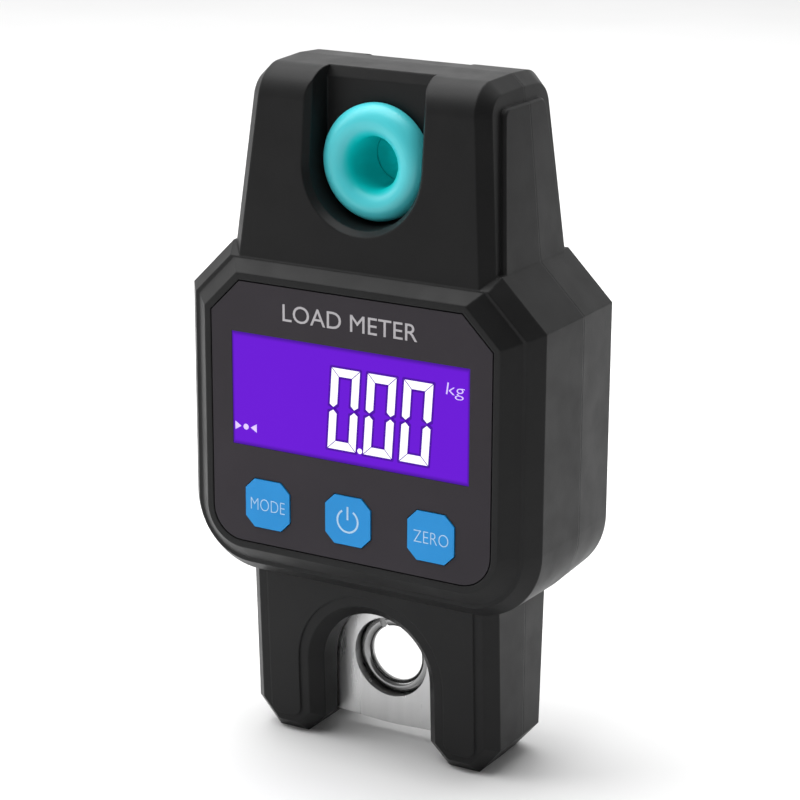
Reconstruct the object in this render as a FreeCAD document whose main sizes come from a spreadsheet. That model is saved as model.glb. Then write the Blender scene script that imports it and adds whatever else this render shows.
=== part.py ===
import FreeCAD, Part
import math
import os

import Sketcher

# Crane scale: a plastic casing in two halves round a flat steel load cell, with a lined eye at
# the top and a wire-lined eye between two legs at the bottom.
#
# Frame: millimetres, +Z up, the display faces -Y. The origin is the centre of the upper eye,
# in the middle of the load plate's thickness.
#
# Most casing sizes are given as a depth behind the front panel's face and a height above the
# panel's middle. The back half is the front half's mirror image about the load plate.

NAME = "crane_scale"
DIAGONAL = math.sqrt(2.0)

DIMENSIONS = [
    # alias, value, what it is
    ("eye_above_panel", 46.6, "upper eye above the panel's middle"),
    ("eye_spacing", 95.0, "upper eye to lower eye"),
    ("panel_depth", 18.0, "panel face to the load plate's mid-plane"),
    ("seam_back", 1.0, "joint line behind the mid-plane"),
    ("panel_half_width", 28.7, "front panel, half width"),
    ("panel_half_height", 24.45, "front panel, half height"),
    ("panel_cut", 6.0, "front panel, upper corners cut at 45 degrees"),
    ("panel_round", 6.0, "front panel, lower corner radius"),
    ("panel_thick", 0.6, "front panel thickness"),
    ("panel_gap", 0.25, "gap round the front panel"),
    ("rim", 1.5, "flat rim round the panel"),
    ("bevel_inner", 4.4, "outline growth at the first bevel's foot"),
    ("bevel_inner_deep", 2.6, "depth of the first bevel"),
    ("ledge", 5.15, "outline growth at the ledge's outer edge"),
    ("bevel_outer", 7.45, "outline growth at the second bevel's foot"),
    ("bevel_outer_deep", 5.45, "depth of the second bevel's foot"),
    ("seam_growth", 7.8, "outline growth at the joint line"),
    ("back_growth", 7.3, "outline growth where the back bevel starts"),
    ("back_face_growth", 4.5, "outline growth of the back face"),
    ("shoulder_top", 30.4, "height where the shoulders meet the head"),
    ("wall", 2.0, "casing wall thickness"),
    ("head_foot", 20.0, "height where the head block starts"),
    ("head_top", 62.9, "height of the head's top at the joint line"),
    ("head_foot_half", 27.35, "head half width at its foot"),
    ("head_top_half", 23.2, "head half width at its top"),
        ("head_draft", 0.5, "head half width growth at the joint line"),
    ("head_face_foot", 2.0, "depth of the head's face at the head's foot"),
    ("head_face_top", 5.95, "depth of the head's face at the head's top"),
    ("head_nose", 6.2, "radius between the head's face and top"),
    ("edge_cut", 2.15, "bevel along the edges of head and legs"),
    ("pad_proud", 0.95, "side pads stand proud by this"),
    ("pad_bevel", 0.4, "bevel along the side pads' edges"),
    ("pad_foot", 25.0, "height of the side pads' foot"),
    ("pad_top", 58.2, "height of the side pads' top"),
    ("pad_foot_depth", 5.9, "depth of the side pads' front edge at their foot"),
    ("pad_top_depth", 10.5, "depth of the side pads' front edge at their top"),
    ("pad_round", 2.0, "radius of the side pads' upper corners"),
    ("recess_half", 12.2, "recess half width at the head's face"),
    ("recess_inner", 11.3, "recess half width behind its bevelled rim"),
    ("recess_floor_half", 10.8, "recess half width at its floor"),
    ("recess_deep", 11.0, "depth of the recess floor"),
    ("leg_half", 25.9, "leg outer half width"),
    ("leg_bottom", -64.85, "height of the legs' ends"),
    ("leg_face_top", 6.9, "depth of the legs' face under the display body"),
    ("leg_face_bottom", 8.55, "depth of the legs' face at their ends"),
    ("notch_half", 11.4, "half width between the legs"),
    ("notch_centre", -49.3, "height of the notch's arch centre"),
    ("notch_wall_end", 14.75, "depth where the notch wall ends at the plate"),
    ("plate_thick", 5.5, "load plate thickness"),
    ("plate_half", 17.0, "load plate half width"),
    ("eye_bore", 6.6, "radius of the plate's upper eye"),
    ("throat", 4.7, "radius of the bushing's throat"),
    ("flange_middle", 7.6, "radius of the middle of the bushing's rounded flange"),
    ("flange_round", 2.9, "radius of the bushing flange's section"),
    ("flange_depth", 9.9, "depth of the bushing flange's middle"),
    ("ring_wire", 1.2, "wear ring wire radius"),
    ("ring_middle", 6.55, "wear ring radius to the wire's middle"),
    ("ring_gap", 1.3, "gap between the wear ring's ends"),
    ("slot_half", 17.6, "half width of the slot that the load plate passes through"),
    ("window_half", 24.4, "display window half width"),
    ("window_height", 21.2, "display window height"),
    ("window_middle", 4.5, "display window middle height"),
    ("key_width", 9.4, "key width"),
    ("key_height", 9.2, "key height"),
    ("key_cut", 1.9, "key corner cut"),
    ("key_pitch", 17.0, "key spacing"),
    ("key_level", -16.75, "key row height"),
    ("key_proud", 0.2, "key stands proud of the panel by this"),
    ("key_gap", 0.15, "gap round a key"),
    ("board_front", 8.2, "depth of the circuit board's front"),
    ("board_thick", 1.6, "circuit board thickness"),
    ("board_half", 32.0, "circuit board half width"),
    ("board_top", 19.0, "circuit board top height"),
    ("board_bottom", -22.5, "circuit board bottom height"),
    ("cell_radius", 5.2, "AAA cell radius"),
    ("cell_length", 43.7, "AAA cell body length"),
    ("cell_pitch", 10.7, "AAA cell spacing"),
    ("cell_back", 9.6, "AAA cell axis behind the mid-plane"),
    ("cell_level", -49.0, "middle cell's height in the origin's frame"),
    ("tray_half", 25.6, "battery tray inner half width"),
    ("tray_reach", 16.4, "battery tray inner half height"),
    ("back_face", 17.0, "back face behind the mid-plane"),
    ("door_gap", 0.2, "gap round the battery door"),
    ("screw_head", 2.5, "casing screw head radius"),
    ("screw_shank", 1.3, "casing screw shank radius"),
]

doc = FreeCAD.newDocument(NAME)
sheet = doc.addObject("Spreadsheet::Sheet", "dims")


class Size:
    """A number together with the spreadsheet formula that drives it."""

    def __init__(self, value, formula):
        self.value = value
        self.formula = formula

    def __add__(self, other):
        other = as_size(other)
        return Size(self.value + other.value, f"({self.formula} + {other.formula})")

    def __radd__(self, other):
        return as_size(other) + self

    def __sub__(self, other):
        other = as_size(other)
        return Size(self.value - other.value, f"({self.formula} - {other.formula})")

    def __rsub__(self, other):
        return as_size(other) - self

    def __mul__(self, other):
        other = as_size(other)
        return Size(self.value * other.value, f"({self.formula} * {other.formula})")

    def __rmul__(self, other):
        return as_size(other) * self

    def __truediv__(self, other):
        other = as_size(other)
        return Size(self.value / other.value, f"({self.formula} / {other.formula})")


def as_size(value):
    """A plain number as a Size whose formula is just that number."""
    if isinstance(value, Size):
        return value
    return Size(float(value), f"({float(value)})")


class Dimensions:
    """The spreadsheet's cells as attributes."""


d = Dimensions()
for row, (alias, value, note) in enumerate(DIMENSIONS, start=1):
    sheet.set(f"A{row}", note)
    sheet.set(f"B{row}", str(value))
    sheet.setAlias(f"B{row}", alias)
    setattr(d, alias, Size(value, f"dims.{alias}"))
doc.recompute()

pieces = []


def piece(thing, label):
    """Name a finished sub-part and put it on the export list."""
    thing.Label = label
    pieces.append(thing)
    return thing


def bind(thing, name, size):
    """Drive one property of an object from the spreadsheet."""
    thing.setExpression(name, as_size(size).formula)


def place(thing, x, y, z, axis=(0, 0, 1), angle=0):
    """Turn an object about an axis and drive its position."""
    base = FreeCAD.Vector(as_size(x).value, as_size(y).value, as_size(z).value)
    thing.Placement = FreeCAD.Placement(base, FreeCAD.Rotation(FreeCAD.Vector(*axis), angle))
    bind(thing, "Placement.Base.x", x)
    bind(thing, "Placement.Base.y", y)
    bind(thing, "Placement.Base.z", z)


# --- depth and height in the casing's own terms -------------------------------------------

def up(height):
    """Height above the panel's middle, in the origin's frame."""
    return as_size(height) - d.eye_above_panel


def front(depth):
    """Depth behind the panel's face, in the front half."""
    return as_size(depth) - d.panel_depth


def back(depth):
    """The same depth in the back half, mirrored about the load plate."""
    return d.panel_depth - depth


SEAM_FRONT = d.panel_depth + d.seam_back
SEAM_BACK = d.panel_depth - d.seam_back
SIDES = {"front": (front, SEAM_FRONT), "back": (back, SEAM_BACK)}


def across(side, outer_depth, inner_depth):
    """Two depths of one half as a pair of Y values, the lower first."""
    if side == "front":
        return front(outer_depth), front(inner_depth)
    return back(inner_depth), back(outer_depth)


# --- primitives -----------------------------------------------------------------------------

def box(name, xs, ys, zs):
    """A box between two values on each axis."""
    solid = doc.addObject("Part::Box", name)
    bind(solid, "Length", as_size(xs[1]) - xs[0])
    bind(solid, "Width", as_size(ys[1]) - ys[0])
    bind(solid, "Height", as_size(zs[1]) - zs[0])
    place(solid, xs[0], ys[0], zs[0])
    return solid


def mirrored_boxes(name, xs, ys, zs):
    """Two boxes, one on each side of the middle."""
    right = box(name + "_right", xs, ys, zs)
    left = box(name + "_left", (0 - as_size(xs[1]), 0 - as_size(xs[0])), ys, zs)
    return [right, left]


def rod_y(name, x, z, radius, ys):
    """A cylinder along Y."""
    solid = doc.addObject("Part::Cylinder", name)
    bind(solid, "Radius", radius)
    bind(solid, "Height", as_size(ys[1]) - ys[0])
    place(solid, x, ys[0], z, (1, 0, 0), -90)
    return solid


def rod_x(name, y, z, radius, xs):
    """A cylinder along X."""
    solid = doc.addObject("Part::Cylinder", name)
    bind(solid, "Radius", radius)
    bind(solid, "Height", as_size(xs[1]) - xs[0])
    place(solid, xs[0], y, z, (0, 1, 0), 90)
    return solid


def fuse(name, shapes):
    """One solid from several that touch."""
    joined = doc.addObject("Part::MultiFuse", name)
    joined.Shapes = shapes
    joined.Refine = True
    return joined


def cut(name, base, tools):
    """A solid with one or more tools taken out of it."""
    tool = tools[0] if len(tools) == 1 else fuse(name + "_tools", tools)
    result = doc.addObject("Part::Cut", name)
    result.Base = base
    result.Tool = tool
    result.Refine = True
    return result


def common(name, base, tool):
    """What two solids share."""
    result = doc.addObject("Part::Common", name)
    result.Base = base
    result.Tool = tool
    result.Refine = True
    return result


def group(name, shapes):
    """Separate solids that share one node."""
    result = doc.addObject("Part::Compound", name)
    result.Links = shapes
    return result


# --- sketches and bodies ----------------------------------------------------------------------

def new_body(name):
    return doc.addObject("PartDesign::Body", name)


def new_sketch(body, name, plane, level, lean=0.0):
    """An empty sketch on an origin plane, moved along its normal to a level and leaned back."""
    sketch = body.newObject("Sketcher::SketchObject", name)
    for feature in body.Origin.OriginFeatures:
        if feature.Role == plane + "_Plane":
            sketch.AttachmentSupport = [(feature, "")]
    sketch.MapMode = "FlatFace"
    level = as_size(level)
    if plane == "XZ":
        level = 0 - level
    offset = FreeCAD.Vector(0, 0, level.value)
    turn = FreeCAD.Rotation(FreeCAD.Vector(1, 0, 0), lean)
    sketch.AttachmentOffset = FreeCAD.Placement(offset, turn)
    bind(sketch, "AttachmentOffset.Base.z", level)
    return sketch


def pin(sketch, geometry, point, along, size):
    """Drive a point's distance from the sketch's origin along one of its axes."""
    size = as_size(size)
    other_axis = {"X": -2, "Y": -1}[along]
    if abs(size.value) < 1e-9:
        sketch.addConstraint(Sketcher.Constraint("PointOnObject", geometry, point, other_axis))
        return
    kind = "Distance" + along
    if size.value > 0:
        made = Sketcher.Constraint(kind, -1, 1, geometry, point, size.value)
        formula = size.formula
    else:
        made = Sketcher.Constraint(kind, geometry, point, -1, 1, -size.value)
        formula = (0 - size).formula
    index = sketch.addConstraint(made)
    sketch.setExpression(f"Constraints[{index}]", formula)


def draw_outline(sketch, corners):
    """Draw a closed outline through corners (a, b) or, where rounded, (a, b, radius)."""
    points = []
    radii = []
    for corner in corners:
        points.append(FreeCAD.Vector(as_size(corner[0]).value, as_size(corner[1]).value, 0))
        radii.append(as_size(corner[2]) if len(corner) > 2 else None)
    count = len(points)
    starts = []
    ends = []
    for index, point in enumerate(points):
        if radii[index] is None:
            ends.append(point)
            starts.append(point)
            continue
        before = (points[index - 1] - point).normalize()
        after = (points[(index + 1) % count] - point).normalize()
        half_angle = before.getAngle(after) / 2
        reach = radii[index].value / math.tan(half_angle)
        ends.append(point + before * reach)
        starts.append(point + after * reach)
    lines = []
    for index in range(count):
        segment = Part.LineSegment(starts[index], ends[(index + 1) % count])
        lines.append(sketch.addGeometry(segment, False))
    for index in range(count):
        incoming = lines[index - 1]
        outgoing = lines[index]
        if radii[index] is None:
            sketch.addConstraint(Sketcher.Constraint("Coincident", incoming, 2, outgoing, 1))
            pin(sketch, outgoing, 1, "X", corners[index][0])
            pin(sketch, outgoing, 1, "Y", corners[index][1])
        else:
            round_corner(sketch, corners[index], radii[index], incoming, outgoing)


def round_corner(sketch, corner, radius, incoming, outgoing):
    """Join two lines with a tangent arc and pin the sharp corner they would make."""
    end = sketch.Geometry[incoming].EndPoint
    start = sketch.Geometry[outgoing].StartPoint
    sharp = FreeCAD.Vector(as_size(corner[0]).value, as_size(corner[1]).value, 0)
    inward = ((end + start) * 0.5 - sharp).normalize()
    half_angle = (end - sharp).getAngle(start - sharp) / 2
    centre = sharp + inward * (radius.value / math.sin(half_angle))
    end_angle = math.atan2(end.y - centre.y, end.x - centre.x)
    start_angle = math.atan2(start.y - centre.y, start.x - centre.x)
    counter_clockwise = (start_angle - end_angle) % (2 * math.pi) < math.pi
    first_angle = end_angle if counter_clockwise else start_angle
    last_angle = start_angle if counter_clockwise else end_angle
    circle = Part.Circle(centre, FreeCAD.Vector(0, 0, 1), radius.value)
    arc = sketch.addGeometry(Part.ArcOfCircle(circle, first_angle, last_angle), False)
    first = 1 if counter_clockwise else 2
    sketch.addConstraint(Sketcher.Constraint("Tangent", incoming, 2, arc, first))
    sketch.addConstraint(Sketcher.Constraint("Tangent", arc, 3 - first, outgoing, 1))
    index = sketch.addConstraint(Sketcher.Constraint("Radius", arc, radius.value))
    sketch.setExpression(f"Constraints[{index}]", radius.formula)
    mark = sketch.addGeometry(Part.Point(sharp), True)
    sketch.addConstraint(Sketcher.Constraint("PointOnObject", mark, 1, incoming))
    sketch.addConstraint(Sketcher.Constraint("PointOnObject", mark, 1, outgoing))
    pin(sketch, mark, 1, "X", corner[0])
    pin(sketch, mark, 1, "Y", corner[1])


def draw_arch(sketch, half, centre, end):
    """Draw two parallel sides closed by a half circle, open towards the other end."""
    half = as_size(half)
    centre = as_size(centre)
    end = as_size(end)
    middle = FreeCAD.Vector(0, centre.value, 0)
    top_down = end.value > centre.value
    first_angle = math.pi if top_down else 0.0
    circle = Part.Circle(middle, FreeCAD.Vector(0, 0, 1), half.value)
    arc = sketch.addGeometry(Part.ArcOfCircle(circle, first_angle, first_angle + math.pi), False)
    side = -half.value if top_down else half.value
    near = FreeCAD.Vector(-side, centre.value, 0)
    far = FreeCAD.Vector(side, centre.value, 0)
    near_end = FreeCAD.Vector(-side, end.value, 0)
    far_end = FreeCAD.Vector(side, end.value, 0)
    rise = sketch.addGeometry(Part.LineSegment(near, near_end), False)
    across = sketch.addGeometry(Part.LineSegment(near_end, far_end), False)
    fall = sketch.addGeometry(Part.LineSegment(far_end, far), False)
    sketch.addConstraint(Sketcher.Constraint("Tangent", arc, 2, rise, 1))
    sketch.addConstraint(Sketcher.Constraint("Coincident", rise, 2, across, 1))
    sketch.addConstraint(Sketcher.Constraint("Coincident", across, 2, fall, 1))
    sketch.addConstraint(Sketcher.Constraint("Tangent", fall, 2, arc, 1))
    sketch.addConstraint(Sketcher.Constraint("Horizontal", across))
    sketch.addConstraint(Sketcher.Constraint("Vertical", rise))
    pin(sketch, arc, 3, "X", 0)
    pin(sketch, arc, 3, "Y", centre)
    pin(sketch, across, 1, "Y", end)
    index = sketch.addConstraint(Sketcher.Constraint("Radius", arc, half.value))
    sketch.setExpression(f"Constraints[{index}]", half.formula)


def pad(sketch, length):
    """Raise a sketch along its normal: -Y on XZ, +Z on XY, +X on YZ."""
    body = sketch.getParentGeoFeatureGroup()
    feature = body.newObject("PartDesign::Pad", sketch.Name + "_pad")
    feature.Profile = sketch
    bind(feature, "Length", length)
    return feature


def pocket(sketch, length):
    """Cut a sketch against its normal: +Y on XZ, -Z on XY, -X on YZ."""
    body = sketch.getParentGeoFeatureGroup()
    feature = body.newObject("PartDesign::Pocket", sketch.Name + "_pocket")
    feature.Profile = sketch
    bind(feature, "Length", length)
    return feature


def loft(sketches):
    """A solid with straight sides through a row of sketches."""
    body = sketches[0].getParentGeoFeatureGroup()
    feature = body.newObject("PartDesign::AdditiveLoft", sketches[0].Name + "_loft")
    feature.Profile = sketches[0]
    feature.Sections = sketches[1:]
    feature.Ruled = True
    return feature


def revolve(sketch, axis):
    """A full turn of a sketch about one of its own axes."""
    body = sketch.getParentGeoFeatureGroup()
    feature = body.newObject("PartDesign::Revolution", sketch.Name + "_turned")
    feature.Profile = sketch
    feature.ReferenceAxis = (sketch, [axis])
    feature.Angle = 360.0
    return feature


def bevel_edges(body, name, size, wanted):
    """Cut a 45 degree bevel along the edges of the body's tip that a test accepts."""
    doc.recompute()
    tip = body.Tip
    names = []
    for index, edge in enumerate(tip.Shape.Edges, start=1):
        if wanted(edge):
            names.append(f"Edge{index}")
    feature = body.newObject("PartDesign::Chamfer", name)
    feature.Base = (tip, names)
    bind(feature, "Size", size)
    return feature


def slab(name, plane, level, length, corners):
    """A body with one padded outline."""
    body = new_body(name)
    sketch = new_sketch(body, name + "_outline", plane, level)
    draw_outline(sketch, corners)
    pad(sketch, length)
    return body


# --- outlines ---------------------------------------------------------------------------------

def shield(growth, top):
    """The display body's outline, grown outwards all round, with its top at a given height."""
    half = d.panel_half_width + growth
    foot = d.panel_half_height + growth
    corner = d.panel_round + growth
    shoulder = d.panel_half_width + d.panel_half_height - d.panel_cut + as_size(growth) * DIAGONAL
    return [
        (0 - half, up(0 - foot), corner),
        (half, up(0 - foot), corner),
        (half, up(shoulder - half)),
        (shoulder - top, up(top)),
        (top - shoulder, up(top)),
        (0 - half, up(shoulder - half)),
    ]


def shield_sketch(body, name, depth, growth, top):
    sketch = new_sketch(body, name, "XZ", depth)
    draw_outline(sketch, shield(growth, as_size(top)))
    return sketch


def trapezoid(extra, foot, top):
    """The head's outline between two heights."""
    slope = (d.head_foot_half - d.head_top_half) / (d.head_top - d.head_foot)
    wide = d.head_foot_half - slope * (foot - d.head_foot) + extra
    narrow = d.head_foot_half - slope * (top - d.head_foot) + extra
    return [
        (0 - wide, up(foot)),
        (wide, up(foot)),
        (narrow, up(top)),
        (0 - narrow, up(top)),
    ]


def octagon(x, z, width, height, corner):
    """A rectangle with its four corners cut off at 45 degrees."""
    half_width = as_size(width) / 2
    half_height = as_size(height) / 2
    x = as_size(x)
    z = as_size(z)
    return [
        (x - half_width, z - half_height + corner),
        (x - half_width + corner, z - half_height),
        (x + half_width - corner, z - half_height),
        (x + half_width, z - half_height + corner),
        (x + half_width, z + half_height - corner),
        (x + half_width - corner, z + half_height),
        (x - half_width + corner, z + half_height),
        (x - half_width, z + half_height - corner),
    ]


# --- blocks that both casing halves share -------------------------------------------------------

def body_block(side):
    """The display body's outside, from the joint line outwards."""
    deep, seam = SIDES[side]
    body = new_body(side + "_body_block")
    top = d.shoulder_top
    if side == "front":
        levels = [
            (seam, d.seam_growth, top + 0.4),
            (d.bevel_outer_deep, d.bevel_outer, top),
            (d.bevel_inner_deep, d.ledge, top - 2.2),
        ]
    else:
        levels = [
            (seam, d.seam_growth, top + 0.4),
            (as_size(4.8), d.back_growth, top),
            (d.panel_depth - d.back_face, d.back_face_growth, top - 3.2),
        ]
    sketches = []
    for number, (depth, growth, height) in enumerate(levels):
        name = f"{side}_body_level_{number}"
        sketches.append(shield_sketch(body, name, deep(depth), growth, height))
    loft(sketches)
    if side == "front":
        slope = (d.bevel_inner - d.rim) / d.bevel_inner_deep
        foot_deep = as_size(3.2)
        foot = shield_sketch(body, "bevel_foot", deep(foot_deep), d.rim + slope * foot_deep,
                             d.panel_half_height + d.rim + foot_deep * 0.79)
        rim = shield_sketch(body, "bevel_rim", deep(0), d.rim, d.panel_half_height + d.rim)
        loft([foot, rim])
    return body


def face_depth(height):
    """Depth of the head's leaning face at a height."""
    lean = (d.head_face_top - d.head_face_foot) / (d.head_top - d.head_foot)
    return d.head_face_foot + lean * (as_size(height) - d.head_foot)


def head_block(side):
    """The head's outside: a leaning block with a rounded nose, bevelled along both sides."""
    deep, seam = SIDES[side]
    body = new_body(side + "_head_block")
    near = new_sketch(body, side + "_head_near", "XZ", deep(as_size(1.0)))
    draw_outline(near, trapezoid(0 - d.head_draft * 0.1, d.head_foot, d.head_top))
    far = new_sketch(body, side + "_head_far", "XZ", deep(seam))
    draw_outline(far, trapezoid(d.head_draft, d.head_foot, d.head_top))
    loft([near, far])
    profile = new_sketch(body, side + "_head_profile", "YZ", as_size(40.0))
    below = d.head_foot - 5
    above = d.head_top + 5
    edge = d.head_top - 0.5
    draw_outline(profile, [
        (deep(as_size(0.0)), up(below)),
        (deep(face_depth(below)), up(below)),
        (deep(face_depth(edge)), up(edge), d.head_nose),
        (deep(seam), up(d.head_top)),
        (deep(seam + 1), up(above)),
        (deep(as_size(0.0)), up(above)),
    ])
    pocket(profile, 80)
    joint = deep(seam).value
    foot = up(d.head_foot).value

    def is_side_edge(edge_shape):
        bound = edge_shape.BoundBox
        one_sided = bound.XMin > 10 or bound.XMax < -10
        on_joint = abs(bound.YMin - joint) < 0.01 and abs(bound.YMax - joint) < 0.01
        on_foot = abs(bound.ZMax - foot) < 0.01
        return one_sided and not on_joint and not on_foot

    bevel_edges(body, side + "_head_bevel", d.edge_cut, is_side_edge)
    return body


def leaning(side):
    """Angle that turns an upright sketch into the head's face, in degrees."""
    lean = math.degrees(math.atan(
        (d.head_face_top.value - d.head_face_foot.value)
        / (d.head_top.value - d.head_foot.value)))
    return -lean if side == "front" else lean


def side_pads(side):
    """Raised pads on the head's sides, rounded at their upper corners, with bevelled edges."""
    deep, seam = SIDES[side]
    outline = new_body(side + "_pad_outline")
    sketch = new_sketch(outline, side + "_pad_side", "YZ", as_size(-40.0))
    draw_outline(sketch, [
        (deep(seam), up(d.pad_foot)),
        (deep(d.pad_foot_depth), up(d.pad_foot)),
        (deep(d.pad_top_depth), up(d.pad_top), d.pad_round),
        (deep(seam), up(d.pad_top)),
    ])
    pad(sketch, 80)
    whole = new_body(side + "_pad_block")
    near = new_sketch(whole, side + "_pad_near", "XZ", deep(as_size(1.0)))
    draw_outline(near, trapezoid(d.pad_proud - d.head_draft * 0.1, d.head_foot, d.head_top))
    far = new_sketch(whole, side + "_pad_far", "XZ", deep(seam))
    draw_outline(far, trapezoid(d.pad_proud + d.head_draft, d.head_foot, d.head_top))
    loft([near, far])
    joint = deep(seam).value
    foot = up(d.pad_foot).value

    def is_pad_edge(edge_shape):
        bound = edge_shape.BoundBox
        one_sided = bound.XMin > 10 or bound.XMax < -10
        on_joint = abs(bound.YMin - joint) < 0.01 and abs(bound.YMax - joint) < 0.01
        on_foot = abs(bound.ZMax - foot) < 0.01
        return one_sided and not on_joint and not on_foot

    doc.recompute()
    body = new_body(side + "_pads")
    body.BaseFeature = common(side + "_pad_core", whole, outline)
    bevel_edges(body, side + "_pad_bevel", d.pad_bevel, is_pad_edge)
    return body


def leg_face_depth(height):
    """Depth of the legs' leaning face at a height."""
    lean = (d.leg_face_bottom - d.leg_face_top) / (as_size(-30.0) - d.leg_bottom)
    return d.leg_face_top + lean * (as_size(-30.0) - height)


def leg_block(side):
    """Both legs in one block, with the arched notch between them and bevelled edges."""
    deep, seam = SIDES[side]
    body = new_body(side + "_leg_block")
    low_cut = as_size(4.4)
    side_cut = as_size(5.2)
    sketches = []
    for number, (depth, extra) in enumerate([(as_size(4.0), -0.02), (seam, 0.2)]):
        sketch = new_sketch(body, f"{side}_leg_level_{number}", "XZ", deep(depth))
        half = d.leg_half + extra
        bottom = d.leg_bottom
        draw_outline(sketch, [
            (0 - half, up(-28)),
            (0 - half, up(bottom + side_cut)),
            (low_cut - half, up(bottom)),
            (half - low_cut, up(bottom)),
            (half, up(bottom + side_cut)),
            (half, up(-28)),
        ])
        sketches.append(sketch)
    loft(sketches)
    notch = new_sketch(body, side + "_notch", "XZ", front(0) if side == "front" else as_size(-5))
    draw_arch(notch, d.notch_half, up(d.notch_centre), up(d.leg_bottom - 5))
    pocket(notch, 40)
    corner = new_sketch(body, side + "_notch_corner", "XZ",
                        front(0) if side == "front" else as_size(-5))
    reach = as_size(3.9)
    draw_outline(corner, [
        (0 - d.notch_half - reach - 5, up(d.leg_bottom - 5)),
        (d.notch_half + reach + 5, up(d.leg_bottom - 5)),
        (d.notch_half - 1, up(d.leg_bottom + reach + 1)),
        (1 - d.notch_half, up(d.leg_bottom + reach + 1)),
    ])
    pocket(corner, 40)
    profile = new_sketch(body, side + "_leg_profile", "YZ", as_size(40.0))
    top = as_size(-25.0)
    low = d.leg_bottom - 5
    draw_outline(profile, [
        (deep(as_size(2.0)), up(low)),
        (deep(leg_face_depth(low)), up(low)),
        (deep(leg_face_depth(top)), up(top)),
        (deep(as_size(2.0)), up(top)),
    ])
    pocket(profile, 80)
    limit = deep(as_size(9.5)).value
    notch_reach = d.notch_half.value + 4.1

    def is_face_edge(edge_shape):
        bound = edge_shape.BoundBox
        ahead = bound.YMax < limit if side == "front" else bound.YMin > limit
        along_top = bound.ZMin > up(-29).value
        return ahead and not along_top

    def is_notch_edge(edge_shape):
        bound = edge_shape.BoundBox
        return is_face_edge(edge_shape) and max(-bound.XMin, bound.XMax) < notch_reach

    def is_outer_edge(edge_shape):
        return is_face_edge(edge_shape) and not is_notch_edge(edge_shape)

    bevel_edges(body, side + "_leg_bevel", d.edge_cut, is_outer_edge)
    bevel_edges(body, side + "_notch_bevel", d.edge_cut, is_notch_edge)
    return body


def leg_plateau(side):
    """A slightly raised field on the legs' face that runs round the notch."""
    deep = SIDES[side][0]
    outline = new_body(side + "_plateau_outline")
    level = front(0) + 16 if side == "front" else back(0)
    sketch = new_sketch(outline, side + "_plateau_edge", "XZ", level)
    outer = as_size(21.9)
    inner = d.notch_half + d.edge_cut + 1.9
    arch = inner - 0.05
    bottom = d.leg_bottom + 3.5
    draw_outline(sketch, [
        (0 - outer, up(-28)),
        (0 - outer, up(bottom), as_size(1.9)),
        (0 - inner, up(bottom), as_size(1.9)),
        (0 - inner, up(d.notch_centre + inner), arch),
        (inner, up(d.notch_centre + inner), arch),
        (inner, up(bottom), as_size(1.9)),
        (outer, up(bottom), as_size(1.9)),
        (outer, up(-28)),
    ])
    pad(sketch, 16)
    body = new_body(side + "_plateau_block")
    profile = new_sketch(body, side + "_plateau_profile", "YZ", as_size(-30.0))
    proud = as_size(0.3)
    low = d.leg_bottom
    top = as_size(-29.0)
    draw_outline(profile, [
        (deep(as_size(12.0)), up(low)),
        (deep(leg_face_depth(low) - proud), up(low)),
        (deep(leg_face_depth(top) - proud), up(top)),
        (deep(as_size(12.0)), up(top)),
    ])
    pad(profile, 60)
    return common(side + "_plateau", outline, body)


def recess_tool(side):
    """The U-shaped recess round the upper eye, open at the head's top."""
    deep = SIDES[side][0]
    body = new_body(side + "_recess")
    slope = (d.recess_half - d.recess_inner) / 1.3
    ahead = as_size(2.0)
    at_eye = face_depth(d.eye_above_panel)
    turn = leaning(side)
    levels = [
        (at_eye - ahead, d.recess_half + slope * ahead, turn),
        (at_eye + 1.3, d.recess_inner, turn),
        (d.recess_deep, d.recess_floor_half, 0.0),
    ]
    sketches = []
    for number, (depth, half, angle) in enumerate(levels):
        sketch = new_sketch(body, f"{side}_recess_{number}", "XZ", deep(depth), angle)
        draw_arch(sketch, half, 0, up(d.head_top + 6))
        sketches.append(sketch)
    loft(sketches)
    lip = slab(side + "_recess_lip", "YZ", 0 - d.recess_floor_half, d.recess_floor_half * 2, [
        (deep(d.recess_deep - 1), up(d.head_top - 2.2)),
        (deep(d.recess_deep), up(d.head_top - 2.2)),
        (deep(d.recess_deep + 1.2), up(d.head_top + 0.2)),
        (deep(d.recess_deep - 1), up(d.head_top + 0.2)),
    ])
    return [body, lip]


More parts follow.
